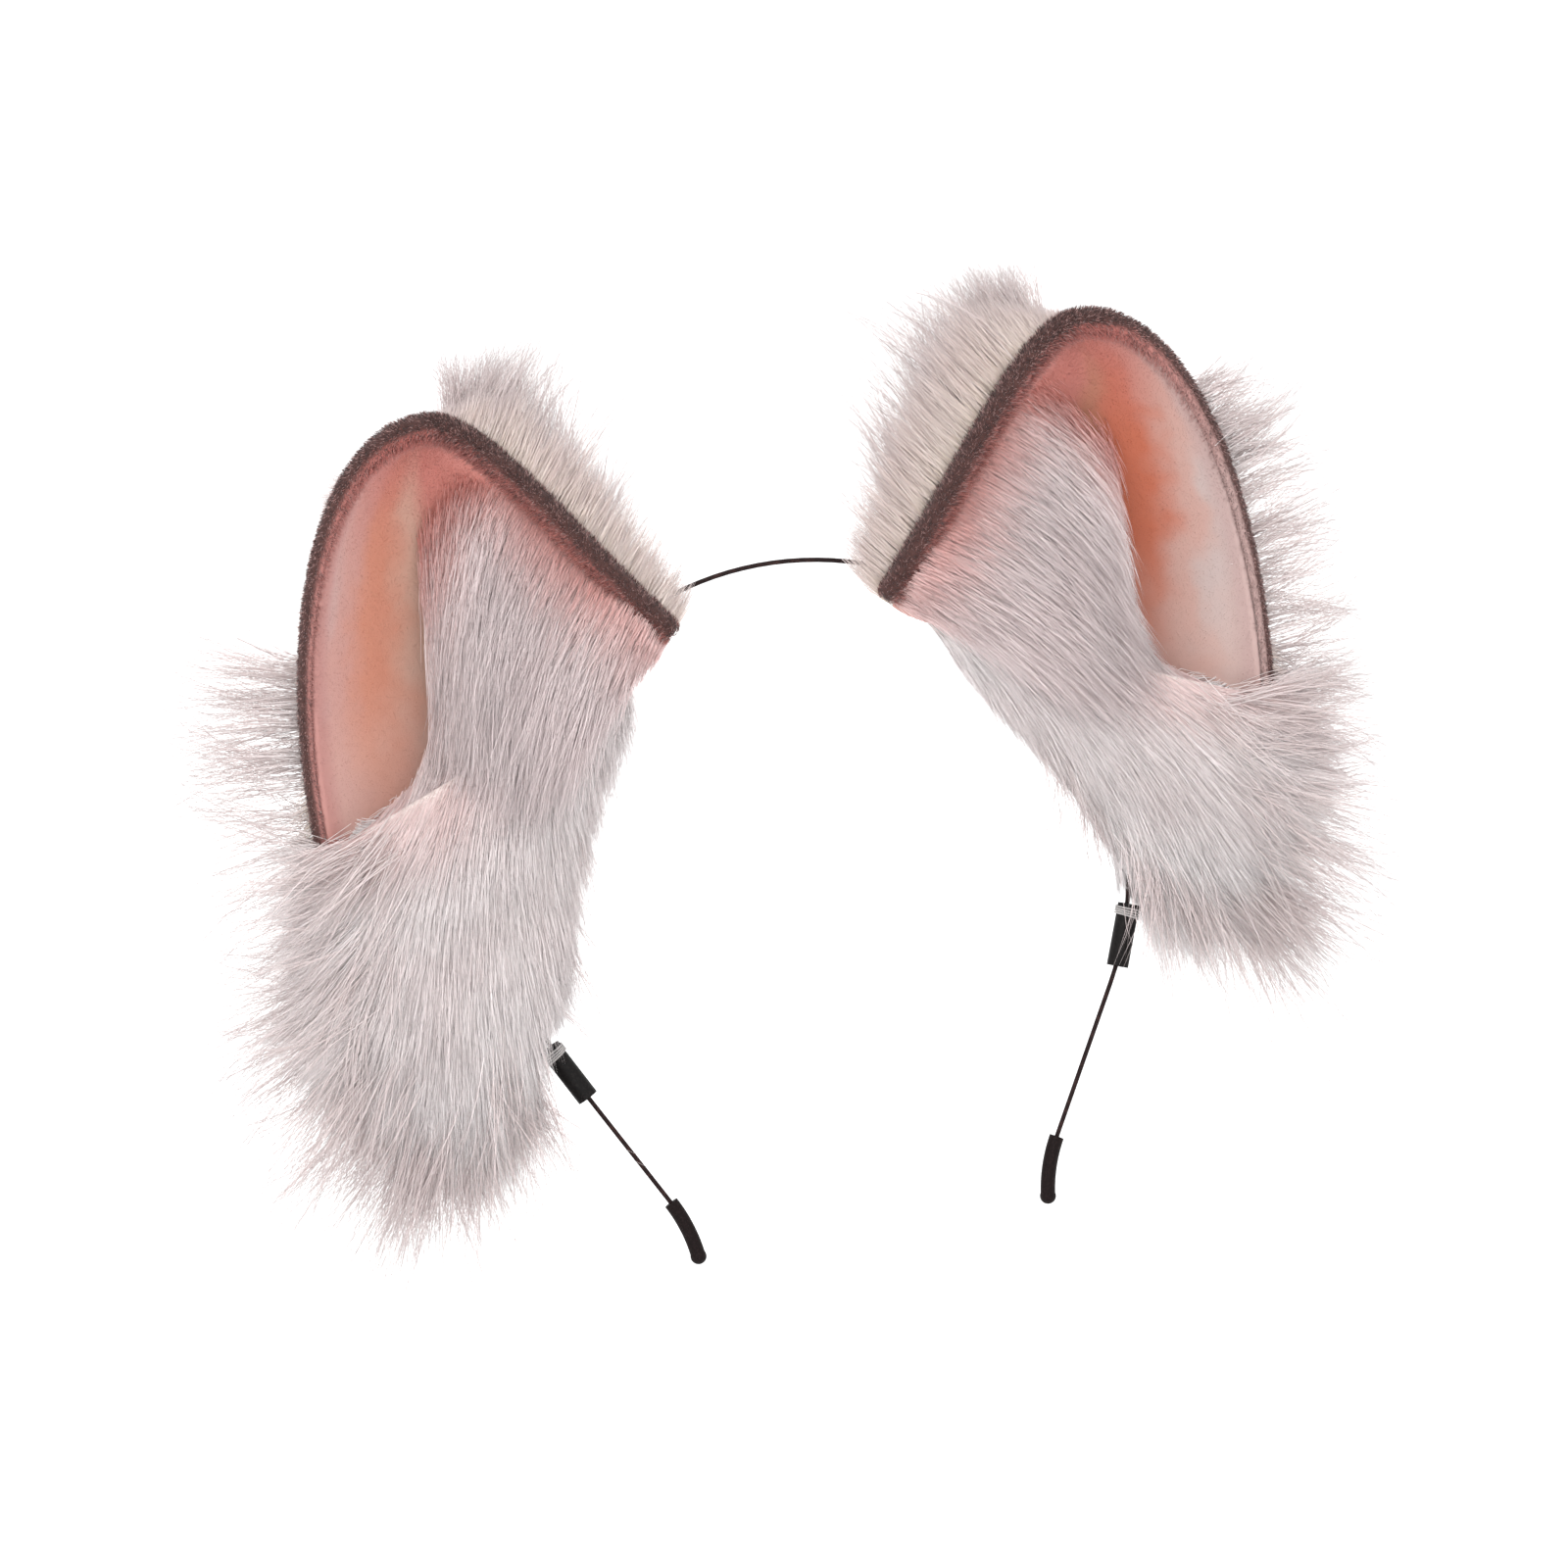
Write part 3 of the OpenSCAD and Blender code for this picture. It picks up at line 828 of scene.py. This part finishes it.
def ear_rim(ear):
    """Rolled rim: a plush tube along the edge with rounded ends, and its clipped fibres."""
    rings, sides = 260, 18
    t = np.linspace(RIM_FROM, RIM_TO, rings)
    along, front, away = rim_frame(t)
    length = np.concatenate([[0], np.cumsum(np.linalg.norm(np.diff(rim_point(t), axis=0), axis=1))])
    radius = rounded(rim_radius(t), np.minimum(length, length[-1] - length), 0.01)
    a = 2 * math.pi * np.arange(sides) / sides
    # Three faint lumps round the tube that swell and sink along it.
    lumps = 1 + 0.03 * np.sin(length * 0.8)[:, None] * np.cos(3 * a)[None]
    points = rim_point(t)[:, None] + (radius[:, None] * lumps)[..., None] * circles(a, away, front)
    points = points.reshape(-1, 3)
    quads = grid_faces(rings, sides, closed=True)
    warm = rim_warmth(np.repeat(t, sides), np.tile(a, rings), ear)
    fields = {"tint": np.full(len(points), 0.3), "warm": warm, "fade": np.repeat(rim_fade(t), sides)}
    rim = make("ear_rim", ear, points, quads, end_caps(rings, sides), fields)
    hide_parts(f"{ear.name}_rim")
    plush = rim_material(ear)
    use(rim, plush)

    n = RIM_HAIRS
    t = rng.uniform(RIM_FROM, RIM_TO, n)
    a = rng.uniform(0, 2 * math.pi, n)
    along, front, away = rim_frame(t)
    out = np.cos(a)[:, None] * away + np.sin(a)[:, None] * front
    radius = rounded(rim_radius(t), np.minimum(t, 2 - t) * RIM_HALF, 0.05)
    root = rim_point(t) + (radius - 0.15)[:, None] * out
    start = jitter(out + 0.4 * along, 0.35)
    inside = np.clip((-np.cos(a) - 0.2) / 0.5, 0, 1)[:, None]
    stop = jitter(out + 0.9 * along - inside * away, 0.45)
    size = rng.uniform(0.8, 1.7, n) * np.clip(rim_radius(t) / RIM_R, 0.55, 1)
    size = size * (1 + 0.9 * inside[:, 0])
    p = pile_paths(root, start, stop, size, FUZZ_RINGS, clump=4, pull=(0, 0.4))
    fields = {
        "tint": rng.uniform(0.15, 0.8, n),
        "warm": rim_warmth(t, a + rng.normal(0, 0.35, n), ear),
        "fade": rim_fade(t),
    }
    fuzz = strand_mesh("rim_pile", ear, p, np.full(n, RIM_HAIR_WIDTH), fields, keep_off=False)
    use(fuzz, plush)


def rim_fade(t):
    """How far the rim's salmon fades into the lining's colour along the outer edge."""
    return np.interp(t, [1.1, 1.6], [0, 1])


def rim_warmth(t, a, ear):
    """How far the rim's brown gives way to salmon: on the side toward the cup, more so along
    the outer edge, and at the inner corner's underside."""
    cupward = -np.cos(a) + 0.25 * np.sin(a)
    start = np.interp(t, [0, 0.9, 1.15, 1.5, 2], [0.68, 0.6, 0.3, ear.line, ear.line])
    edge = np.clip((cupward - start) / 0.5, 0, 1)
    corner = np.clip(1 - t / 0.05, 0, 1) * np.clip(0.7 - np.sin(a), 0, 1) * 0.5
    return np.clip(edge + corner, 0, 1)


def lining_pile(ear, plush):
    """Short fibres standing on the lining where the tuft leaves it bare."""
    n = LINING_HAIRS
    u = 0.98 * (1 - (1 - rng.random(n)) ** 0.75)
    w = np.where(u > 0.45, rng.uniform(0.03, 0.99, n), rng.uniform(0.3, 0.99, n))
    root, normal = on_shell(u, w, (tucked(LINING_LOW, u, w) + 0.1)[:, None])
    normal = -normal
    down = without_inward(lie(np.full(n, 20.0)), normal)
    start = jitter(normal + 0.6 * down, 0.3)
    stop = jitter(0.4 * normal + down, 0.3)
    size = rng.uniform(0.25, 0.5, n)
    p = pile_paths(root, start, stop, size, FUZZ_RINGS, clump=5, pull=(0.0, 0.1))
    fields = {"across": lateral(w), "up": u, "tint": rng.random(n)}
    fuzz = strand_mesh("lining_pile", ear, p, np.full(n, LINING_HAIR_WIDTH), fields, keep_off=False)
    use(fuzz, plush)


def back_pile(ear):
    """Long pile on the back of the ear, standing past the rim along the inner edge."""
    n = BACK_HAIRS
    u = 0.97 * (1 - (1 - rng.random(n)) ** 0.8)
    w = rng.random(n) ** 1.7
    # Lie of the back, in degrees outward from straight up: up past the inner edge, and out
    # past the outer one.
    turn = np.interp(w, [0, 0.16, 0.35, 0.6, 0.85, 1], [-24, -4, 50, 84, 96, 90])
    swing = np.interp(u, [0, 0.15, 0.5, 1], [30, 14, 0, -10])
    turn += swing * np.interp(w, [0, 0.3, 0.6], [-0.5, 0.4, 1])
    # Along the base it falls over the top of the cuff.
    falling = np.interp(u, [0.03, 0.15], [1, 0]) * np.interp(w, [0.08, 0.25], [0, 1])
    turn = turn + falling * (155 - turn)
    size = np.interp(u, [0, 0.12, 0.35, 0.65, 0.78, 0.88, 0.97], [15, 18, 23, 22, 14, 6, 3])
    size = size * np.where(w < 0.4, ear.crest, 1)
    # It is cropped short toward the outer edge and over the tip, so that the rim shows.
    thin = np.interp(u, [0.02, 0.15], [0.1, 1]) * np.interp(w, [0.5, 0.8], [0, 1])
    crown = np.interp(u, [0.55, 0.75], [0, 1]) * np.interp(w, [0.1, 0.28], [0, 0.8])
    size = size * (1 - 0.88 * np.maximum(thin, crown))
    under = rng.random(n) < UNDERFUR
    size = size * np.where(under, rng.uniform(0.3, 0.7, n), rng.uniform(0.65, 1.05, n))
    long = rng.random(n) < 0.04
    size = np.where(long, size * 1.35, size)
    root, normal = on_shell(u, w, PELT_LOW + PELT_T - 0.2)
    comb = lie(180 - turn)
    fluff = np.where(under, 0.2, 0.08)[:, None]
    start = jitter(0.75 * normal + 0.65 * comb, fluff)
    end = jitter(0.25 * normal + 0.95 * comb, fluff)
    p = pile_paths(root, start, end, size, PILE_RINGS, clump=14, pull=(0.0, 0.2), wave=0.02, sway=0.06)
    width = np.where(long, LONG_HAIR_WIDTH, BACK_HAIR_WIDTH) * rng.uniform(0.8, 1.15, n)
    fields = {"tint": rng.random(n), "warm": np.clip(rng.normal(0.15, 0.15, n), 0, 0.6)}
    order = np.argsort(w, kind="stable")
    pieces = pile_pieces("back_pile", ear, p, lambda part: width[part], fields, order, 3, BACK_PILE)
    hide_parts(f"{ear.name}_outer_fur")


def ear_locks(ear):
    """Loose locks: up past the inner edge, and out past the lower part of the outer one."""
    n = EDGE_LOCKS
    u = rng.uniform(0.1, 0.82, n)
    w = rng.uniform(0.02, 0.16, n)
    turn = rng.normal(-8, 14, n)
    length = np.interp(u, [0.1, 0.5, 0.75, 0.82], [34, 48, 46, 28]) * rng.uniform(0.7, 1.15, n)
    length = length * ear.crest
    top, n = ear.wisps
    outer_u = top * rng.random(n) ** 1.3
    u = np.concatenate([u, outer_u])
    w = np.concatenate([w, rng.uniform(0.84, 0.98, n)])
    out_turn = np.interp(outer_u, [0, 0.25, 0.6], [98, 78, 64]) + rng.normal(0, 10, n)
    turn = np.concatenate([turn, out_turn])
    shorter = np.interp(outer_u, [0.2, 0.6], [1, 0.4])
    length = np.concatenate([length, rng.uniform(26, 56, n) * shorter])
    root, normal = on_shell(u, w, PELT_LOW + PELT_T)
    comb = lie(180 - turn)
    bend = lie(180 - turn + rng.normal(0, 24, len(u)))
    spikes("ear_locks", ear, root, unit(comb + 0.5 * normal), unit(bend + 0.1 * normal), length)


def fold_line(ear, z):
    """How far out the tuft ends toward the bare lining, at height z."""
    further = [0, 0, 0, ear.fold_shift, ear.fold_shift]
    return np.interp(z, [12, 28, 46, 86, 100], np.array([140, 87, 76.5, 75, 73]) + further)


def inner_tuft(ear):
    """Long pile on the inner half of the cup. It fills the cup up to its mouth, is combed
    across the fold, and runs down in front of the wire over the base of the ear."""
    top = 0.72
    tries = 4 * TUFT_HAIRS
    u = rng.random(tries) ** 1.2 * top
    w = rng.uniform(0.01, 0.97, tries)
    skin = shell_point(u, w, TUFT_CLEAR)
    # The tuft's upper end slants down from the inner edge to the fold.
    below = top - 0.42 * w - u + 0.03 * rng.normal(size=tries)
    grows = (skin[:, 0] < fold_line(ear, skin[:, 2]) - 1) & (below > 0)
    kept = np.flatnonzero(grows)[:TUFT_HAIRS - TUFT_BASE_HAIRS]
    # Along the base the pile runs right out to the outer corner.
    base_u = rng.uniform(0, 0.04, TUFT_BASE_HAIRS)
    base_w = rng.triangular(0.45, 0.7, 0.92, TUFT_BASE_HAIRS)
    u = np.concatenate([u[kept], base_u])
    w = np.concatenate([w[kept], base_w])
    skin = np.concatenate([skin[kept], shell_point(base_u, base_w, TUFT_CLEAR)])
    below = np.concatenate([below[kept], np.full(TUFT_BASE_HAIRS, top)])
    n = len(u)
    along_base = np.arange(n) >= n - TUFT_BASE_HAIRS
    edge = cubic(INNER_EDGE, u)
    from_rim = np.hypot(skin[:, 0] - edge[:, 0], skin[:, 2] - edge[:, 2])
    to_fold = fold_line(ear, skin[:, 2]) - skin[:, 0]
    low_down = np.interp(u, [0, 0.22], [1, 0])

    # Face of the mass: just behind the rim's middle, bulging over the wire, and falling
    # back to the shell at the fold.
    off_hoop = np.hypot(skin[:, 0], skin[:, 2]) - BAND_R
    face = skin[:, 1] - cup(u, w) + 2 - 5.5 * np.exp(-((off_hoop / 10) ** 2))
    fall = np.maximum(0.3 + 0.7 * np.clip(to_fold / 10, 0, 1), low_down)
    fall = fall * (0.45 + 0.55 * np.clip(below / 0.16, 0, 1))
    fill = fall * (1 - 0.4 * rng.random(n) ** 2)
    root = skin.copy()
    root[:, 1] += fill * (face - skin[:, 1]) + 1.5 * along_base

    to_fold = np.maximum(to_fold, 0.5)
    turn = np.interp(from_rim / (from_rim + to_fold), [0, 0.5, 1], ear.tuft_comb)
    turn += np.interp(w, [0.4, 0.65, 0.95], [0, 24, 34]) * np.interp(u, [0.03, 0.16], [1, 0])
    comb = lie(turn + rng.normal(0, 4, n))
    comb[:, 1] -= 0.16 + np.interp(w, [0.3, 0.5], [0.3, 0.06]) * low_down
    start = jitter(comb, 0.09)
    end = jitter(comb * np.array([1, 0.2, 1]), 0.07)
    size = np.interp(from_rim, [0, 4, 10, 18], [4, 7.5, 15, 26])
    size = size * np.interp(u, [0, 0.08, 0.3, 0.72], [1.4, 1.25, 1, 0.5]) * rng.uniform(0.55, 1.1, n)
    size = size * np.interp(below, [0, 0.2], [0.3, 1])
    p = pile_paths(root, start, end, size, PILE_RINGS, clump=28, pull=(0.0, 0.25), wave=0.02, sway=0.035)
    # The mass ends in a line down the fold, and runs out over the base below it.
    line = fold_line(ear, p[..., 2]) - 5 + 1.2 * rng.normal(size=(n, 1))
    over = np.maximum(p[..., 0] - line, 0)
    p[..., 0] = np.where(over > 0, line + 7 * (1 - np.exp(-over / 7)), p[..., 0])
    beside = np.clip(1 - from_rim / 12, 0, 1) ** 1.2 * (1 - 0.5 * low_down)
    # The tuft's upper end turns salmon. The strip along the base is turned a quarter of the way toward the
    # darker warm colour as painted shade.
    salmon_top_and_shaded_base = np.clip(1 - below / 0.17, 0, 1) + 0.25 * along_base
    fields = {
        "tint": rng.random(n),
        "warm": np.clip((beside + salmon_top_and_shaded_base) * rng.uniform(0.8, 1.05, n), 0, 0.95),
    }
    pieces = pile_pieces(
        "tuft_pile", ear, p, lambda part: rng.uniform(0.12, 0.17, len(part)), fields,
        np.arange(n), 2, SHADED_TUFT_PILE,
    )
    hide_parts(f"{ear.name}_inner_tuft")


def cuff_backing(ear):
    """Backing tube of the cuff."""
    rows, cols = 40, 48
    s, phi = np.meshgrid(np.linspace(0, 1, rows), 2 * math.pi * np.arange(cols) / cols, indexing="ij")
    skin = cuff_point(ear.pelt, s.ravel(), phi.ravel())
    inner = skin - CUFF_PELT_T * cuff_normal(ear.pelt, s.ravel(), phi.ravel())
    n = len(skin)
    ring = np.arange(cols)
    after = (ring + 1) % cols
    last = (rows - 1) * cols
    quads = np.concatenate([
        grid_faces(rows, cols, closed=True),
        grid_faces(rows, cols, base=n, closed=True, flip=True),
        np.stack([ring, ring + n, after + n, after], 1),
        np.stack([last + after, last + after + n, last + ring + n, last + ring], 1),
    ])
    pelt = make("cuff_backing", ear, np.concatenate([skin, inner]), quads[:, ::-1])
    use(pelt, BACKING)
    skin = skin.reshape(rows, cols, 3)


def cuff_turn(ear, place, s):
    """Lie of the cuff's pile in degrees, place from 0 at the inner side to 1 at the outer one."""
    top, bottom = (np.interp(place, COMB_AT, row) for row in ear.comb)
    return top * (1 - s) + bottom * s


def cuff_pile(ear):
    """Long pile of the cuff."""
    n = CUFF_HAIRS
    s = rng.random(n) ** 0.95
    phi = rng.uniform(0, 2 * math.pi, n)
    root = cuff_point(ear.pelt, s, phi)
    normal = cuff_normal(ear.pelt, s, phi)
    # The lower end's cap: roots inside the last ring, growing down.
    cap = rng.random(n) < 0.07
    inset = np.sqrt(rng.random(n))
    centre = cuff_point(ear.pelt, np.ones(n), phi + math.pi)
    rim = cuff_point(ear.pelt, np.ones(n), phi)
    root = np.where(cap[:, None], (rim + centre) / 2 + inset[:, None] * (rim - centre) / 2, root)
    normal = np.where(cap[:, None], unit(0.4 * normal + lie(np.full(n, 15.0))), normal)
    s = np.where(cap, 1, s)
    place = (1 + np.cos(phi)) / 2
    front = np.clip(-np.sin(phi) * 2, 0, 1)
    comb = lie(cuff_turn(ear, place, s) + rng.normal(0, 4, n))
    flow = without_inward(comb, normal)
    # Under the tuft's hairs at the front the pile lies flat; at the back it stands to the ear.
    lift = np.interp(s, [0, 0.3, 1], [0.06, 0.22, 0.26]) + np.interp(s, [0, 0.3], [0.3, 0]) * (1 - front)
    lift = lift * np.interp(place, [0, 0.15, 0.85, 1], [0.7, 1, 1, 1.5])
    arch = (np.interp(s, [0, 0.08], [1, 0]) * (1 - front) * rng.uniform(0.3, 1, n))[:, None]
    start = jitter(flow + lift[:, None] * normal + arch * np.array([0, 0, 1.1]), 0.05)
    end = jitter(flow + 0.06 * normal + np.array([0, 0, -0.15]) * (1 + 2 * arch), 0.05)
    fan = np.interp(place, [0.6, 1], [0, 1])
    size = CUFF_PILE + (CUFF_FAN - CUFF_PILE) * fan
    size = size * np.interp(s, [0, 0.15, 0.5, 1], [0.85, 1, 1, 0.95])
    under = rng.random(n) < UNDERFUR
    size = size * np.where(under, rng.uniform(0.45, 0.75, n), rng.uniform(0.75, 1.1, n))
    size = np.where(place < 0.12, size * 0.8, size)
    size = size * (1 - 0.35 * fan * rng.random(n) ** 0.5) * (1 - 0.2 * fan * s)
    long = rng.random(n) < np.interp(place, [0.6, 1], [0.03, 0.08])
    size = np.where(long, size * 1.45, size)
    loose = np.clip(np.maximum(fan, np.interp(s, [0.75, 1], [0, 1])), 0, 1)
    pull = (0.05, 0.3 + 0.4 * loose)
    sway = 0.03 + 0.08 * loose
    p = pile_paths(root, start, end, size, PILE_RINGS, clump=45, pull=pull, wave=0.02, sway=sway)
    width = np.where(long, LONG_HAIR_WIDTH, CUFF_HAIR_WIDTH) * rng.uniform(0.8, 1.15, n)
    pink = np.clip(0.5 - np.abs(s - 0.35), 0, 0.5) * 0.4 + rng.normal(0, 0.05, n)
    # Painted shade: the cuff's top at the front, under the lining and the tuft, is turned toward the darker
    # warm colour.
    shade_under_lining = np.interp(s, [0, 0.16], [0.75, 0]) * np.interp(place, [0.3, 0.55], [0, 1]) * front
    fields = {"tint": rng.random(n), "warm": np.clip(pink + shade_under_lining, 0, 0.8)}
    order = np.argsort(phi, kind="stable")
    pieces = pile_pieces("cuff_pile", ear, p, lambda part: width[part], fields, order, 5, WHITE_PILE)
    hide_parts(f"{ear.name}_cuff_fur")


def cuff_locks(ear):
    """Loose locks: out from the outer side, down from the lower end, and a few at the inner side."""

    def each(*ranges):
        return np.concatenate([rng.uniform(*ends, n) for ends, n in zip(ranges, CUFF_LOCKS)])

    at = each((-1.1, 1.1), (-2.6, 0.6), (2.7, 3.6))
    s = each((0, 1), (0.8, 1), (0.3, 0.9))
    length = each((30, 62), (1.1 * CUFF_FAN, 2 * CUFF_FAN), (16, 30))
    normal = cuff_normal(ear.pelt, s, at)
    place = (1 + np.cos(at)) / 2
    turn = cuff_turn(ear, place, s)
    turn += rng.normal(0, 14, len(s)) + 14 * np.clip(place * 2 - 1, 0, 1) * (1 - s)
    flow = without_inward(lie(turn), normal)
    bend = lie(turn + rng.normal(0, 20, len(s)))
    root = cuff_point(ear.pelt, s, at)
    end = unit(bend + np.array([0, 0, -0.15]))
    spikes("cuff_locks", ear, root, unit(flow + 0.35 * normal), end, length, spread=1.7)


def on_hoop(at, points):
    """Points given along the wire (-Z) and away from the hoop's middle (+X), put at an angle."""
    a = math.radians(at)
    away = np.array([math.sin(a), 0, math.cos(a)])
    up = np.array([-math.cos(a), 0, math.sin(a)])
    y = np.array([0, 1, 0])
    return BAND_R * away + points[:, :1] * away + points[:, 1:2] * y + points[:, 2:] * up


def tube(name, ear, path, radius, sides=8):
    """Closed round tube along a path of points."""
    n = len(path)
    tangent = unit(np.gradient(path, axis=0))
    ref = np.array([0.3, 0.2, 0.93])
    across = unit(np.cross(tangent, ref))
    other = np.cross(tangent, across)
    a = 2 * math.pi * np.arange(sides) / sides
    points = (path[:, None] + radius * circles(a, across, other)).reshape(-1, 3)
    return make(name, ear, points, grid_faces(n, sides, closed=True), end_caps(n, sides))


def sleeve_thread(ear):
    """Thread wound round the top of the sleeve, with its end taken up into the cuff."""
    turns, pitch = 4.2, 0.55
    a = np.linspace(0, 2 * math.pi * turns, 170)
    r = SLEEVE_D / 2 + 0.26 + 0.04 * np.sin(5 * a)
    z = SLEEVE_LEN / 2 - 0.5 - pitch * a / (2 * math.pi) + 0.18 * np.sin(a * 0.9 + 1)
    local = np.stack([r * np.cos(a), r * np.sin(a), z], 1)
    lead = np.linspace(0, 1, 24)[:-1, None]
    first = local[0]
    away = np.array([first[0] + 1.5, first[1] - 1.0, first[2] + 7.5])
    lead_in = away + (first - away) * lead + np.array([0, 0.8, 0]) * np.sin(math.pi * lead)
    path = on_hoop(ear.sleeve_at, np.concatenate([lead_in, local]))
    thread = tube("sewn_thread", ear, path, radius=0.2)
    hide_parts(f"{ear.name}_sleeve_thread")
    use(thread, GREY_THREAD)


# ---- camera ----

VIEW_AZIMUTH = -9
VIEW_ELEVATION = 1
VIEW_ROLL = 9.3
VIEW_DISTANCE = 2600
VIEW_WIDTH = 336
VIEW_AIM = Vector((-3.7, 0, 20.8))
SENSOR = 36

camera = placed("camera", bpy.data.cameras.new("camera"))
bpy.context.scene.camera = camera
camera.data.sensor_width = SENSOR
camera.data.lens = SENSOR * VIEW_DISTANCE / VIEW_WIDTH
look = (
    Matrix.Rotation(math.radians(VIEW_AZIMUTH), 4, "Z")
    @ Matrix.Rotation(math.radians(90 - VIEW_ELEVATION), 4, "X")
    @ Matrix.Rotation(math.radians(-VIEW_ROLL), 4, "Z")
)
away = Matrix.Translation((0, 0, VIEW_DISTANCE * MM))
camera.matrix_world = Matrix.Translation(VIEW_AIM * MM) @ look @ away
camera.data.clip_start = 0.01
camera.data.clip_end = 50

# ---- pieces ----

# What each CAD node that stays in sight is made of, on the band and on either side.
NODE_LOOKS = {"band_wire": LACQUER}
SIDE_LOOKS = {
    "tip": RUBBER,
    "rim_wire": STEEL,
    "wire_casing": TAPE,
    "base_felt": FELT,
    "base_stitches": THREAD,
    "guide_sleeve": SLEEVE,
}
for ear in EARS:
    NODE_LOOKS.update({f"{ear.name}_{node}": look for node, look in SIDE_LOOKS.items()})
for node, look in NODE_LOOKS.items():
    use(bpy.data.objects[node], look)

for ear in EARS:
    lining_plush = ear_cloths(ear)
    ear_rim(ear)
    lining_pile(ear, lining_plush)
    back_pile(ear)
    ear_locks(ear)
    inner_tuft(ear)
    cuff_backing(ear)
    cuff_pile(ear)
    cuff_locks(ear)
    sleeve_thread(ear)

# ---- stage ----

# In metres.
FLOOR_Z = -0.14
FLOOR_HALF = 30
WORLD_STRENGTH = 1.4

around = ((-1, -1), (1, -1), (1, 1), (-1, 1))
corners = [(x * FLOOR_HALF, y * FLOOR_HALF, FLOOR_Z) for x, y in around]
floor_mesh = bpy.data.meshes.new("floor")
floor_mesh.from_pydata(corners, [], [(0, 1, 2, 3)])
floor = placed("floor", floor_mesh)
floor_look = Shader("pale_floor", Roughness=0.9, Specular_IOR_Level=0.0)
floor_look.colour(floor_look.ramp(floor_look.noise(0.01, 2), [(0, 0.95), (1, 0.97)]))
floor.data.materials.append(floor_look.material)

world = bpy.data.worlds.new("studio")
bpy.context.scene.world = world
world.use_nodes = True
background = world.node_tree.nodes["Background"]
background.inputs["Color"].default_value = (1, 1, 1, 1)
background.inputs["Strength"].default_value = WORLD_STRENGTH


def sun(name, direction, energy, spread):
    """Sun that shines in a direction, with its angle of spread in degrees."""
    light = placed(name, bpy.data.lights.new(name, "SUN"))
    light.data.energy = energy
    light.data.angle = math.radians(spread)
    light.rotation_mode = "QUATERNION"
    light.rotation_quaternion = Vector(direction).to_track_quat("-Z", "Y")


sun("key", (0.25, 1.0, -0.55), energy=1.35, spread=70)

bpy.context.scene.view_settings.view_transform = "Standard"
